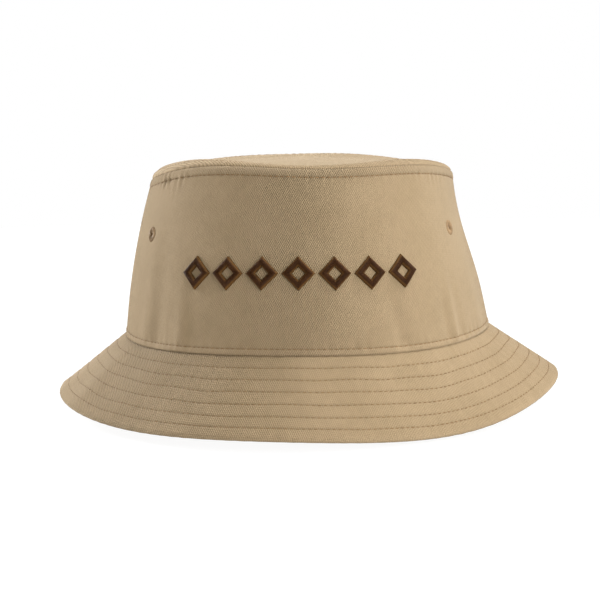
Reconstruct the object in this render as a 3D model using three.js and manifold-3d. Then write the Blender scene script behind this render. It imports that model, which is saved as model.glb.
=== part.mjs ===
// Bucket hat in cotton twill: oval crown, flat top panel, row-stitched sloping brim, inner sweatband.
// Millimetres, +Z up, front towards -Y. The hat stands on the lowest points of its brim.
//
// Every ring of the hat follows one oval, the seam between crown and brim. A point of the hat is
// given by the angle around that oval (0 at the front, 90 degrees on the wearer's left, +X),
// by its distance outward from the oval, and by its height above the seam.
import * as THREE from 'three';
import { mergeVertices } from 'three/addons/utils/BufferGeometryUtils.js';
import Module from 'manifold-3d';

// ---------------------------------------------------------------- driving dimensions
const SEAM_HALF_WIDTH = 92;       // oval of the crown and brim seam, along X
const SEAM_HALF_LENGTH = 99;      // the same oval, along Y
const CROWN_HEIGHT = 84.8;
const CROWN_TAPER = 17.6;         // how far the crown leans in by its top
const BRIM_WIDTH = 42.5;
const BRIM_SLOPE_MEAN = 46;       // degrees below level, averaged round the hat
const BRIM_SLOPE_FRONT = 7.6;     // added at front and back, taken off at the sides
const BRIM_SLOPE_CORNERS = 2.6;   // added between front and sides, taken off at both
const ROW_COUNT = 6;              // stitch rows that quilt the brim

const GAP = 0.3;                  // between pieces that touch
const CLOTH = 1.4;                // crown panels
const BRIM_SKIN = 0.9;
const INTERLINING = 0.8;
const TAPE = 0.8;
const SWEATBAND = 1.2;
const LABEL = 0.6;
const THREAD = 0.6;               // how far a stitch line stands proud
const THREAD_WIDTH = 1.0;

const TIP_ALLOWANCE = 7;          // top panel's edge, folded down inside the side panels
const BRIM_ALLOWANCE = 8;         // lower brim's edge, folded up inside the side panels
const TIP_STITCH_INSET = 3.5;
const TOP_STITCH_DROP = 4.5;
const BASE_STITCH_RISE = 3;
const SWEATBAND_FOOT = 1;
const SWEATBAND_HEIGHT = 30;
const SWEATBAND_STITCH_HEIGHT = 3;
const SWEATBAND_END_GAP = 0.003;  // radians left open at each of its two ends, which meet at the back
const SIDE_TAPE_WIDTH = 12;
const TOP_TAPE_OVERHANG = 2;      // how far the top seam's tape reaches below the allowance it covers

// Labels: first and last angle in degrees, lower and upper edge above the seam.
const MAIN_LABEL = { from: 168, to: 192, low: 8, high: 26 };
const CARE_LABEL = { from: -96, to: -84, low: 38, high: 70 };

const EYELET_HEIGHT = 53.5;
const EYELET_ANGLE = 63;          // from the front, and the same from the back
const EYELET_RADIUS = 3.5;
const EYELET_BORE = 1.5;
const EYELET_SLEEVE = 2.1;
const EYELET_HOLE = 2.4;
const EYELET_RIM = 0.8;

const MOTIF_COUNT = 7;
const MOTIF_PITCH = 16.8;
const MOTIF_WIDTH = 15.4;
const MOTIF_HEIGHT = 15.6;
const MOTIF_STROKE = 3.4;
const MOTIF_RELIEF = 1.6;
const MOTIF_LEVEL = 37.2;         // height of the row of diamonds above the seam
const MOTIF_SHIFT = -2.5;         // the row's middle lies a little to the wearer's right
// Half a diamond's section, from its outer edge (0) to its inner edge (1), with its share of the relief.
const MOTIF_SECTION = [[0, 0.1], [0, 0.6], [0.5, 1], [1, 0.6], [1, 0.1]];
const BACKING_MARGIN = 4;         // of the patch behind the diamonds, above and below them
const BACKING_REACH = 48;         // degrees to each side of the front
const FRONT_ARC_RADIUS = 83;      // turns a distance along the front of the crown into an angle

const STEP = 6;                   // degrees between the stations that all rings share
const BRIM_SPANS = 4;             // flats across a brim layer
const EYELET_SEGMENTS = 12;

// ---------------------------------------------------------------- the oval and its profile
const rad = THREE.MathUtils.degToRad;

function seamPoint(angle) {
  return new THREE.Vector3(SEAM_HALF_WIDTH * Math.sin(angle), -SEAM_HALF_LENGTH * Math.cos(angle), 0);
}

function outward(angle) {
  return new THREE.Vector3(SEAM_HALF_LENGTH * Math.sin(angle), -SEAM_HALF_WIDTH * Math.cos(angle), 0)
    .normalize();
}

const lean = height => -CROWN_TAPER * height / CROWN_HEIGHT;

function brimSlope(angle) {
  return rad(BRIM_SLOPE_MEAN + BRIM_SLOPE_FRONT * Math.cos(2 * angle)
    - BRIM_SLOPE_CORNERS * Math.cos(4 * angle));
}

// A point of the brim's section: `along` the cloth from the seam, `depth` below its upper face.
function brimPoint(angle, along, depth) {
  const slope = brimSlope(angle);
  return [along * Math.cos(slope) - depth * Math.sin(slope),
    -along * Math.sin(slope) - depth * Math.cos(slope)];
}

// How far along the cloth the brim's section at `depth` crosses the distance `out` from the oval.
function alongAt(angle, out, depth) {
  const slope = brimSlope(angle);
  return (out + depth * Math.sin(slope)) / Math.cos(slope);
}

// One face of a brim layer, in spans short enough to follow the brim's twist.
function brimFace(angle, from, to, depth, spans = BRIM_SPANS) {
  return Array.from({ length: spans + 1 }, (_, i) =>
    brimPoint(angle, from + (to - from) * i / spans, depth));
}

const UPPER_DEPTH = 0;
const INTERLINING_DEPTH = BRIM_SKIN + GAP;
const LOWER_DEPTH = INTERLINING_DEPTH + INTERLINING + GAP;
const BRIM_DEPTH = LOWER_DEPTH + BRIM_SKIN;

function steps(from, to) {
  const count = Math.round((to - from) / STEP);
  return Array.from({ length: count + 1 }, (_, i) => rad(from + (to - from) * i / count));
}

// Height of the seam above the surface that the hat stands on.
const SEAM_LEVEL = Math.max(...steps(0, 90).map(a => -brimPoint(a, BRIM_WIDTH, BRIM_DEPTH)[1]));

function place(angle, out, height) {
  return seamPoint(angle).addScaledVector(outward(angle), out).setZ(SEAM_LEVEL + height);
}

// ---------------------------------------------------------------- geometry helpers
function fromTriangles(points, triangles) {
  const geometry = new THREE.BufferGeometry();
  geometry.setAttribute('position', new THREE.Float32BufferAttribute(points.flatMap(p => p.toArray()), 3));
  geometry.setIndex(triangles.flat());
  return geometry;
}

// Carries a section, anticlockwise in (out, height), through a list of angles. Each four-sided facet
// is split along the diagonal that starts at its outer point, so that stacked layers stay parallel.
function sweep(section, angles) {
  const closed = angles.at(-1) - angles[0] > 2 * Math.PI - 1e-6;
  const stations = closed ? angles.slice(0, -1) : angles;
  const outlines = stations.map(section);
  const size = outlines[0].length;
  const points = outlines.flatMap((outline, i) => outline.map(([n, z]) => place(stations[i], n, z)));
  const triangles = [];
  const spans = closed ? stations.length : stations.length - 1;
  for (let i = 0; i < spans; i++) {
    const here = i * size;
    const next = ((i + 1) % stations.length) * size;
    for (let k = 0; k < size; k++) {
      const l = (k + 1) % size;
      if (outlines[i][k][0] > outlines[i][l][0]) {
        triangles.push([here + k, next + k, next + l], [here + k, next + l, here + l]);
      } else {
        triangles.push([here + k, next + k, here + l], [here + l, next + k, next + l]);
      }
    }
  }
  if (!closed) {
    const last = (stations.length - 1) * size;
    for (const [start, flip] of [[0, false], [last, true]]) {
      const outline = outlines[start / size].map(([n, z]) => new THREE.Vector2(n, z));
      for (const [a, b, c] of THREE.ShapeUtils.triangulateShape(outline, [])) {
        triangles.push(flip ? [start + a, start + c, start + b] : [start + a, start + b, start + c]);
      }
    }
  }
  return fromTriangles(points, triangles);
}

const FULL_TURN = steps(0, 360);

// A half of the hat between its side seams, held back by half a gap at each seam.
function half(centre) {
  const inset = GAP / 2 / SEAM_HALF_WIDTH;
  const angles = steps(centre - 90, centre + 90);
  angles[0] += inset;
  angles[angles.length - 1] -= inset;
  return angles;
}

// A strip of cloth against the crown wall: `near` and `far` are depths inside its outer face.
function wallStrip(near, far, bottom, top) {
  return () => [
    [lean(bottom) - far, bottom],
    [lean(bottom) - near, bottom],
    [lean(top) - near, top],
    [lean(top) - far, top],
  ];
}

// A stitch line on the outer face of the crown wall.
function wallThread(height) {
  return wallStrip(-GAP - THREAD, -GAP, height - THREAD_WIDTH / 2, height + THREAD_WIDTH / 2);
}

const wasm = await Module();
wasm.setup();

function toManifold(geometry) {
  const bare = geometry.clone();
  bare.deleteAttribute('normal');
  bare.deleteAttribute('uv');
  const merged = mergeVertices(bare);
  return new wasm.Manifold(new wasm.Mesh({
    numProp: 3,
    vertProperties: new Float32Array(merged.attributes.position.array),
    triVerts: new Uint32Array(merged.index.array),
  }));
}

function fromManifold(solid) {
  const mesh = solid.getMesh();
  const geometry = new THREE.BufferGeometry();
  geometry.setAttribute('position', new THREE.BufferAttribute(mesh.vertProperties, 3));
  geometry.setIndex(new THREE.BufferAttribute(mesh.triVerts, 1));
  return geometry;
}

function without(geometry, cutters) {
  return fromManifold(cutters.reduce((solid, cutter) => solid.subtract(toManifold(cutter)),
    toManifold(geometry)));
}

// ---------------------------------------------------------------- materials
const material = (color, roughness) => new THREE.MeshStandardMaterial({ color, roughness, metalness: 0 });
const COLORS = {
  twill: [0xb39a75, 0.95],
  thread: [0x96794f, 0.85],
  binding: [0xa8906c, 0.95],
  interlining: [0xe4dfd2, 1.0],
  label: [0xf1ede4, 0.8],
  motif: [0x5c4020, 0.6],
};

const hat = new THREE.Group();

function add(name, look, geometry) {
  geometry.computeVertexNormals();
  const mesh = new THREE.Mesh(geometry, material(...COLORS[look]));
  mesh.name = name;
  hat.add(mesh);
  return mesh;
}

// ---------------------------------------------------------------- crown
// Flat oval disc, with a groove that its stitch row sinks into.
const TIP_STITCH_OUT = lean(CROWN_HEIGHT) - TIP_STITCH_INSET;
const TIP_ALLOWANCE_FOOT = CROWN_HEIGHT - CLOTH - TIP_ALLOWANCE;
const GROOVE_HALF_WIDTH = THREAD_WIDTH / 2 + GAP;
const GROOVE_DEPTH = THREAD + GAP;

function topPanel() {
  const stations = FULL_TURN.slice(0, -1);
  const top = CROWN_HEIGHT;
  const rings = [
    [TIP_STITCH_OUT - GROOVE_HALF_WIDTH, top],
    [TIP_STITCH_OUT - GROOVE_HALF_WIDTH, top - GROOVE_DEPTH],
    [TIP_STITCH_OUT + GROOVE_HALF_WIDTH, top - GROOVE_DEPTH],
    [TIP_STITCH_OUT + GROOVE_HALF_WIDTH, top],
    [lean(top), top],
    [lean(top), top - CLOTH],
  ];
  const points = stations.flatMap(angle => rings.map(([n, z]) => place(angle, n, z)));
  const upper = points.push(new THREE.Vector3(0, 0, SEAM_LEVEL + top)) - 1;
  const lower = points.push(new THREE.Vector3(0, 0, SEAM_LEVEL + top - CLOTH)) - 1;
  const triangles = [];
  stations.forEach((_, i) => {
    const here = i * rings.length;
    const next = ((i + 1) % stations.length) * rings.length;
    triangles.push([upper, here, next]);
    for (let k = 0; k < rings.length - 1; k++) {
      triangles.push([here + k, here + k + 1, next + k], [here + k + 1, next + k + 1, next + k]);
    }
    triangles.push([lower, next + rings.length - 1, here + rings.length - 1]);
  });
  return fromTriangles(points, triangles);
}

// The four eyelets sit at the middle of a flat of the faceted wall.
const EYELETS = [
  ['eyelet_front_right', -EYELET_ANGLE],
  ['eyelet_front_left', EYELET_ANGLE],
  ['eyelet_back_left', 180 - EYELET_ANGLE],
  ['eyelet_back_right', EYELET_ANGLE - 180],
];

// Frame of the wall's flat at an eyelet: centre on the outer face, Y axis along the outward normal.
function eyeletFrame(degrees) {
  const corner = (offset, height) => place(rad(degrees + offset), lean(height), height);
  const low = corner(-STEP / 2, 0);
  const across = corner(STEP / 2, 0).sub(low);
  const up = corner(-STEP / 2, CROWN_HEIGHT).sub(low);
  const normal = across.cross(up).normalize();
  const centre = corner(-STEP / 2, EYELET_HEIGHT).add(corner(STEP / 2, EYELET_HEIGHT)).multiplyScalar(0.5);
  const turn = new THREE.Quaternion().setFromUnitVectors(new THREE.Vector3(0, 1, 0), normal);
  return new THREE.Matrix4().compose(centre, turn, new THREE.Vector3(1, 1, 1));
}

// Overcast thread of an eyelet: a rim on each face of the cloth, joined through the hole.
function eyelet() {
  const inside = -CLOTH - GAP;
  const profile = [
    [EYELET_BORE, inside - EYELET_RIM],
    [EYELET_RADIUS, inside - EYELET_RIM],
    [EYELET_RADIUS, inside],
    [EYELET_SLEEVE, inside],
    [EYELET_SLEEVE, GAP],
    [EYELET_RADIUS, GAP],
    [EYELET_RADIUS, GAP + EYELET_RIM],
    [EYELET_BORE, GAP + EYELET_RIM],
  ].map(([r, y]) => new THREE.Vector2(r, y));
  return new THREE.LatheGeometry([...profile, profile[0].clone()], EYELET_SEGMENTS);
}

function eyeletDrill(degrees) {
  return new THREE.CylinderGeometry(EYELET_HOLE, EYELET_HOLE, 4 * CLOTH, EYELET_SEGMENTS)
    .applyMatrix4(eyeletFrame(degrees));
}

function sidePanel(centre, eyeletAngles) {
  const wall = sweep(wallStrip(0, CLOTH, GAP, CROWN_HEIGHT - CLOTH - GAP), half(centre));
  return without(wall, eyeletAngles.map(eyeletDrill));
}

add('crown_top_panel', 'twill', topPanel());
add('crown_top_allowance', 'twill', sweep(
  wallStrip(CLOTH + GAP, 2 * CLOTH + GAP, TIP_ALLOWANCE_FOOT, CROWN_HEIGHT - CLOTH - GAP), FULL_TURN));
add('crown_side_front', 'twill', sidePanel(0, [-EYELET_ANGLE, EYELET_ANGLE]));
add('crown_side_back', 'twill', sidePanel(180, [180 - EYELET_ANGLE, 180 + EYELET_ANGLE]));
for (const [name, degrees] of EYELETS) {
  const mesh = add(name, 'thread', eyelet());
  eyeletFrame(degrees).decompose(mesh.position, mesh.quaternion, mesh.scale);
}

add('crown_tip_stitch', 'thread', sweep(() => [
  [TIP_STITCH_OUT - THREAD_WIDTH / 2, CROWN_HEIGHT - THREAD],
  [TIP_STITCH_OUT + THREAD_WIDTH / 2, CROWN_HEIGHT - THREAD],
  [TIP_STITCH_OUT + THREAD_WIDTH / 2, CROWN_HEIGHT],
  [TIP_STITCH_OUT - THREAD_WIDTH / 2, CROWN_HEIGHT],
], FULL_TURN));
add('crown_top_stitch', 'thread', sweep(wallThread(CROWN_HEIGHT - TOP_STITCH_DROP), FULL_TURN));
add('crown_base_stitch', 'thread', sweep(wallThread(BASE_STITCH_RISE), FULL_TURN));

// ---------------------------------------------------------------- inside of the crown
const TIP_ALLOWANCE_DEPTH = 2 * CLOTH + GAP;
const TOP_TAPE_FOOT = TIP_ALLOWANCE_FOOT - TOP_TAPE_OVERHANG;
add('crown_top_seam_tape', 'binding', sweep(
  wallStrip(TIP_ALLOWANCE_DEPTH + GAP, TIP_ALLOWANCE_DEPTH + GAP + TAPE,
    TOP_TAPE_FOOT, CROWN_HEIGHT - CLOTH - GAP),
  FULL_TURN,
));

const SWEATBAND_TOP = SWEATBAND_FOOT + SWEATBAND_HEIGHT;
const SWEATBAND_NEAR = CLOTH + GAP + BRIM_SKIN + GAP;
const SWEATBAND_FAR = SWEATBAND_NEAR + SWEATBAND;
const SIDE_TAPE_NEAR = CLOTH + GAP;
const SIDE_TAPE_FAR = SIDE_TAPE_NEAR + TAPE;
for (const [name, centre] of [['side_seam_tape_left', 90], ['side_seam_tape_right', -90]]) {
  const reach = SIDE_TAPE_WIDTH / 2 / SEAM_HALF_WIDTH;
  add(name, 'binding', sweep(
    wallStrip(SIDE_TAPE_NEAR, SIDE_TAPE_FAR, SWEATBAND_TOP + GAP, TOP_TAPE_FOOT - GAP),
    [rad(centre) - reach, rad(centre), rad(centre) + reach],
  ));
}

const bandAngles = steps(180, 540);
bandAngles[0] += SWEATBAND_END_GAP;
bandAngles[bandAngles.length - 1] -= SWEATBAND_END_GAP;
add('sweatband', 'binding', sweep(
  wallStrip(SWEATBAND_NEAR, SWEATBAND_FAR, SWEATBAND_FOOT, SWEATBAND_TOP), bandAngles));
add('sweatband_stitch', 'thread', sweep(
  wallStrip(SWEATBAND_FAR + GAP, SWEATBAND_FAR + GAP + THREAD,
    SWEATBAND_STITCH_HEIGHT, SWEATBAND_STITCH_HEIGHT + THREAD_WIDTH),
  FULL_TURN,
));

function label(near, { from, to, low, high }) {
  return sweep(wallStrip(near, near + LABEL, low, high), steps(from, to));
}

add('main_label', 'label', label(SWEATBAND_FAR + GAP, MAIN_LABEL));
add('care_label', 'label', label(SIDE_TAPE_FAR + GAP, CARE_LABEL));

// ---------------------------------------------------------------- brim
function brimLayer(depth, thickness, start, end, spans) {
  return angle => [
    ...brimFace(angle, start, end, depth + thickness, spans),
    ...brimFace(angle, end, start, depth, spans),
  ];
}

// The lower skin turns up inside the crown, behind the sweatband.
function lowerSkin(angle) {
  const near = CLOTH + GAP;
  const far = near + BRIM_SKIN;
  return [
    ...brimFace(angle, alongAt(angle, -far, BRIM_DEPTH), BRIM_WIDTH, BRIM_DEPTH),
    ...brimFace(angle, BRIM_WIDTH, alongAt(angle, -near, LOWER_DEPTH), LOWER_DEPTH),
    [lean(BRIM_ALLOWANCE) - near, BRIM_ALLOWANCE],
    [lean(BRIM_ALLOWANCE) - far, BRIM_ALLOWANCE],
  ];
}

for (const [side, centre] of [['front', 0], ['back', 180]]) {
  add(`brim_upper_${side}`, 'twill', sweep(brimLayer(UPPER_DEPTH, BRIM_SKIN, 0, BRIM_WIDTH), half(centre)));
  add(`brim_interlining_${side}`, 'interlining', sweep(
    brimLayer(INTERLINING_DEPTH, INTERLINING, 1, BRIM_WIDTH - 1), half(centre)));
  add(`brim_lower_${side}`, 'twill', sweep(lowerSkin, half(centre)));
}

for (let row = 1; row <= ROW_COUNT; row++) {
  const along = BRIM_WIDTH * row / (ROW_COUNT + 1);
  add(`brim_stitch_row_${row}`, 'thread', sweep(
    brimLayer(-GAP - THREAD, THREAD, along - THREAD_WIDTH / 2, along + THREAD_WIDTH / 2, 1), FULL_TURN));
}

// ---------------------------------------------------------------- embroidery on the front
// Backing patch behind the stitches, inside the front panel.
const BACKING_HALF_HEIGHT = MOTIF_HEIGHT / 2 + BACKING_MARGIN;
add('embroidery_backing', 'interlining', sweep(
  wallStrip(CLOTH + GAP, CLOTH + GAP + LABEL,
    MOTIF_LEVEL - BACKING_HALF_HEIGHT, MOTIF_LEVEL + BACKING_HALF_HEIGHT),
  steps(-BACKING_REACH, BACKING_REACH),
));

// One raised diamond outline, wrapped round the front of the crown.
function diamond(centre) {
  const corners = [[1, 0], [0, 1], [-1, 0], [0, -1]];
  const shrinkX = MOTIF_STROKE * Math.hypot(MOTIF_WIDTH, MOTIF_HEIGHT) / MOTIF_HEIGHT;
  const shrinkY = MOTIF_STROKE * Math.hypot(MOTIF_WIDTH, MOTIF_HEIGHT) / MOTIF_WIDTH;
  const outline = (inset, corner) => [
    corner[0] * (MOTIF_WIDTH / 2 - inset * shrinkX),
    corner[1] * (MOTIF_HEIGHT / 2 - inset * shrinkY),
  ];
  const ring = corners.flatMap((corner, i) => {
    const next = corners[(i + 1) % corners.length];
    const middle = [(corner[0] + next[0]) / 2, (corner[1] + next[1]) / 2];
    return [corner, middle];
  });
  const points = ring.flatMap(corner => MOTIF_SECTION.map(([inset, rise]) => {
    const [x, z] = outline(inset, corner);
    const height = MOTIF_LEVEL + z;
    return place((centre + x) / FRONT_ARC_RADIUS, lean(height) + GAP + rise * MOTIF_RELIEF, height);
  }));
  const triangles = [];
  ring.forEach((_, i) => {
    const here = i * MOTIF_SECTION.length;
    const next = ((i + 1) % ring.length) * MOTIF_SECTION.length;
    for (let k = 0; k < MOTIF_SECTION.length; k++) {
      const l = (k + 1) % MOTIF_SECTION.length;
      triangles.push([here + k, next + k, here + l], [here + l, next + k, next + l]);
    }
  });
  return fromTriangles(points, triangles);
}

for (let i = 0; i < MOTIF_COUNT; i++) {
  const centre = MOTIF_SHIFT + (i - (MOTIF_COUNT - 1) / 2) * MOTIF_PITCH;
  add(`motif_diamond_${i + 1}`, 'motif', diamond(centre));
}

export default hat;
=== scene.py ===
"""Bucket hat: the sewn cloth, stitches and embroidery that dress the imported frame.

Sizes are in millimetres. Directions round the hat start from the front, in radians where they are worked
with and in degrees where they are listed. The wearer's left is at +X."""
import math

import bmesh
import bpy
import numpy as np
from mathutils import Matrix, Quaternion, Vector


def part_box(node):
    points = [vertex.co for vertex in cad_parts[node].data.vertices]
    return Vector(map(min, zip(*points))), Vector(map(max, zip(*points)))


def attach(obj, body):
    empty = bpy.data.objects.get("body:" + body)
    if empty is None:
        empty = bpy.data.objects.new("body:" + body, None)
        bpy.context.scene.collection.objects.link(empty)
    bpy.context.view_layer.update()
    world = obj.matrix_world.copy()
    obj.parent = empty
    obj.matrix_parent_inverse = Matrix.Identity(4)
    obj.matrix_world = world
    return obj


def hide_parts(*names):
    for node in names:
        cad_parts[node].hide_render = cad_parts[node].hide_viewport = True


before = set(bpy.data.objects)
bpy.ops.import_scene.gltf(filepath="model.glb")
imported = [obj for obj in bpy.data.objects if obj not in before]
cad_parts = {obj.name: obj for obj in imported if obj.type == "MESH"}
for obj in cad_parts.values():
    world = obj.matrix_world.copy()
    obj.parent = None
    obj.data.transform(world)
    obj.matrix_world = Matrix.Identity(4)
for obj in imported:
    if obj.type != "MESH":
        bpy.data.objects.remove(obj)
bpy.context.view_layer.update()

MM = 0.001


# ---------------- sizes, read from the frame
def box_mm(node):
    low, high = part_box(node)
    return np.array(low) / MM, np.array(high) / MM


def middle_mm(node):
    low, high = box_mm(node)
    return (low + high) / 2


WALL_LOW, WALL_HIGH = box_mm("crown_side_front")
_, TOP_HIGH = box_mm("crown_top_panel")

SEAM_X = WALL_HIGH[0]  # half width of the oval between crown and brim
SEAM_Y = -WALL_LOW[1]  # half length of the same oval
SEAM_Z = WALL_LOW[2]  # its height above the floor
CROWN_H = TOP_HIGH[2] - SEAM_Z
TAPER = SEAM_X - TOP_HIGH[0]  # how far the crown leans in by its top

# How the soft hat departs from its pattern as the cloth settled. Waves round the hat are listed as
# (cycles, cosine height, sine height), in millimetres, or in degrees for the brim's slope.
RIM_LIFT = 1.0  # the rim of the top panel above its pattern height
RIM_WAVES = ((1, 1.0, -0.9), (2, 1.7, -0.2), (3, -1.3, 0.1), (4, -0.9, -0.25))
TOP_SHIFT = -1.3  # the crown leans a little to the wearer's right, at -X
SEAM_WAVES = ((2, 0.0, 0.9), (3, 0.0, -0.95), (4, 0.45, 0.0))
BULGE_RIGHT = 2.2  # how far the wearer's right side of the crown swells at half height
BULGE_LEFT = -1.1  # and how far the left side is drawn in
SKEW_LEFT = -1.1  # draws the left side in above its middle and lets it out below
BRIM_LENGTH = 42.4
BRIM_STRETCH = (  # direction, half width, and length gained at the edge and half way out
    (-80, 22, 1.2, 0.0), (62, 16, -0.7, 0.0), (38, 20, 0.0, 1.0), (-20, 14, 0.0, 0.7),
)
SLOPE_MEAN = 47.1  # how steeply the brim falls, in degrees
SLOPE_WAVES = ((1, 0.0, 0.9), (2, 7.6, 0.0), (3, 0.0, 2.6), (4, -3.6, 0.0))
BRIM_LIFT = 3.3  # brings the lowest point of the settled brim up to the floor

# The top seam sits on the wall's side of the rounded corner, by this distance from its middle.
TOP_SEAM_DROP = 2.45
TOP_SEAM_WAVES = ((1, -0.5, -0.4), (2, -1.5, -1.1), (3, -0.2, 1.1))

CLOTH = 0.9  # thickness of the crown's cloth
BRIM_THICK = 2.3  # of both skins and the stiffener together
BRIM_SKIN = 0.7  # of one skin
ROW_DISTANCES = (6.1, 12.2, 18.3, 24.8, 31.2, 37.0)  # from the crown's seam, before any stretch
STITCH_PITCH = 2.7
STITCH_LENGTH = 2.05
THREAD_RADIUS = 0.25

TOP_STITCH_DROP = 4.3  # row of stitches on the wall, below the top seam
TIP_STITCH_INSET = 3.9  # row on the top panel, inside the top seam
BASE_STITCH_RISE = 3.0  # row on the wall, above the brim's seam
GROOVE_DEPTH = 0.3  # that a row of stitches draws into the crown
GROOVE_WIDTH = 0.45

COLUMNS = 960  # round the whole hat


# ---------------- the shape of the settled hat
UP = np.array([0.0, 0.0, 1.0])


def col(x):
    """One number for each point, shaped to multiply the points' coordinates."""
    return np.asarray(x, float)[..., None]


def outward(phi):
    """Level unit vector square to the oval of the base seam."""
    n = np.stack([SEAM_Y * np.sin(phi), -SEAM_X * np.cos(phi), 0 * phi], -1)
    return n / np.linalg.norm(n, axis=-1, keepdims=True)


def direction_of(spot):
    return math.atan2(spot[0] / SEAM_X, -spot[1] / SEAM_Y)


def waves(phi, terms):
    return sum(c * np.cos(n * phi) + s * np.sin(n * phi) for n, c, s in terms)


def seam_point(phi):
    """Point of the seam between crown and brim."""
    height = SEAM_Z + BRIM_LIFT + waves(phi, SEAM_WAVES)
    return np.stack([SEAM_X * np.sin(phi), -SEAM_Y * np.cos(phi), height], -1)


def top_point(phi):
    """The corner that the wall and the top panel would meet in if it weren't rounded."""
    p = seam_point(phi) - outward(phi) * TAPER
    p[..., 0] += TOP_SHIFT
    p[..., 2] = SEAM_Z + BRIM_LIFT + CROWN_H + RIM_LIFT + waves(phi, RIM_WAVES)
    return p


def brim_slope(phi):
    return np.radians(SLOPE_MEAN + waves(phi, SLOPE_WAVES))


def ripple(phi, t, sines, cycles, drift, seed):
    """Smooth random ripple of about unit height: sines with whole numbers of cycles round the hat."""
    rng = np.random.default_rng(seed)
    total = np.zeros(np.broadcast(phi, t).shape)
    for _ in range(sines):
        count = rng.integers(cycles[0], cycles[1] + 1)
        total += np.cos(count * phi + rng.normal(0, drift) * t + rng.uniform(0, 2 * math.pi))
    return total * math.sqrt(2 / sines) / 2


def bump(x, centre, width):
    """Bell of unit height."""
    return np.exp(-(((x - centre) / width) ** 2))


def angle_gap(phi, centre):
    """Distance round the hat from a direction, in degrees."""
    away = phi - np.radians(centre)
    return np.degrees(np.arctan2(np.sin(away), np.cos(away)))


# ---- crown: one rounded section carries the wall and the top panel, which meet at a seam on it
CORNER_RADIUS = 6.1  # between wall and top panel at the front and back
CORNER_EXTRA_RIGHT = 3.6  # rounder than that at the wearer's right, and a little at the left
CORNER_EXTRA_LEFT = 0.4
TIP_CENTRE_LIFT = 0.6  # the panel's centre above the mean height of its rim


def corner_radius(phi):
    right, left = np.clip(-np.sin(phi), 0, 1), np.clip(np.sin(phi), 0, 1)
    return CORNER_RADIUS + CORNER_EXTRA_RIGHT * right ** 4 + CORNER_EXTRA_LEFT * left ** 4


def top_seam_drop(phi):
    return TOP_SEAM_DROP + waves(phi, TOP_SEAM_WAVES)


def crown_frame(phi):
    """Corner point, slant length and lean of the wall, half the corner's arc, and its tangent length."""
    base, top = seam_point(phi), top_point(phi)
    across = np.sum((top - base) * outward(phi), -1)
    rise = top[..., 2] - base[..., 2]
    lean = np.arctan2(-across, rise)
    turn = math.pi / 2 - lean
    radius = corner_radius(phi)
    return top, np.hypot(across, rise), lean, radius * turn / 2, radius * np.tan(turn / 2)


def wall_length(phi):
    _, slant, _, half_arc, tangent = crown_frame(phi)
    return slant - tangent + half_arc - top_seam_drop(phi)


def wall_distance(phi, height):
    """Distance below the top seam of a spot on the wall, by its height above the brim's seam."""
    return wall_length(phi) - height / np.cos(crown_frame(phi)[2])


def tip_reach(phi):
    """Distance along the top panel from its seam to its centre."""
    top, _, _, half_arc, tangent = crown_frame(phi)
    rim = top - outward(phi) * col(tangent)
    return np.hypot(rim[..., 0] - TOP_SHIFT, rim[..., 1]) + half_arc + top_seam_drop(phi)


def crown_section(phi, s):
    """Plain crown surface: `s` runs along the section from the corner's middle, down the wall where it
    is positive and across the top panel where it is negative. Gives the point and the outward normal."""
    top, _, lean, half_arc, tangent = crown_frame(phi)
    radius = corner_radius(phi)
    middle = (math.pi / 2 + lean) / 2
    angle = middle - np.clip(s, -half_arc, half_arc) / radius
    reach = radius / np.cos(math.pi / 2 - middle)
    down = np.maximum(s - half_arc, 0)
    inward = np.maximum(-s - half_arc, 0)
    out = radius * np.cos(angle) - reach * np.cos(middle) + down * np.sin(lean)
    up = radius * np.sin(angle) - reach * np.sin(middle) - down * np.cos(lean)
    point = top + outward(phi) * col(out) + UP * col(up)
    # across the panel: straight to its centre, where the waves of the rim have died away
    to_centre = np.array([TOP_SHIFT, 0.0]) - (top - outward(phi) * col(tangent))[..., :2]
    whole = np.linalg.norm(to_centre, axis=-1)
    point[..., :2] += to_centre / col(whole) * col(inward)
    share = np.clip(inward / whole, 0, 1)
    point[..., 2] += (TIP_CENTRE_LIFT - waves(phi, RIM_WAVES)) * share * (2 - share)
    return point, outward(phi) * col(np.cos(angle)) + UP * col(np.sin(angle))


def step(x):
    """Smooth step from 0 to 1 at zero, about a millimetre wide."""
    return 1 / (1 + np.exp(-4 * x))


def puckers(phi, distance, reach, seed):
    """Fine gathers that a stitch line draws up, fading away from it."""
    return ripple(phi, distance, 18, (75, 135), 0.12, seed) * np.exp(-np.abs(distance) / reach)


# Soft folds rising from the brim: direction, half width, height, slant for each millimetre of rise, and
# reach up the wall.
SOFT_FOLDS = (
    (-58, 4.0, 1.0, 0.0, 72), (-52, 4.0, -1.2, 0.0, 72),
    (-40, 2.8, 1.2, 0.06, 42), (-35, 3.0, -0.7, 0.06, 42),
    (30.5, 2.6, -1.2, 0.12, 36), (36, 4.0, 0.5, 0.12, 36),
    (47.5, 2.0, -0.6, 0.0, 42), (51, 1.9, 1.2, 0.0, 42), (54.5, 2.2, -0.8, 0.0, 42),
    (68, 3.2, 0.8, 0.0, 40),
    (118, 4.0, 0.8, 0.1, 35), (150, 3.0, -1.0, -0.2, 26),
    (-128, 4.5, -0.9, 0.1, 30), (-150, 3.0, 0.9, 0.1, 24),
)
FOLD_FOOT = 5.0  # a fold dies away over this height above the brim's seam
GATHER_DIRECTION = -57  # where the top stitches draw the wall up most
GATHER_SPREAD = 9
GATHER_GAIN = 2.2


def side_seam(phi, scale):
    """Distance from the nearer side seam, for `scale` millimetres to a degree."""
    return np.minimum(np.abs(angle_gap(phi, 90)), np.abs(angle_gap(phi, -90))) * scale


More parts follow.
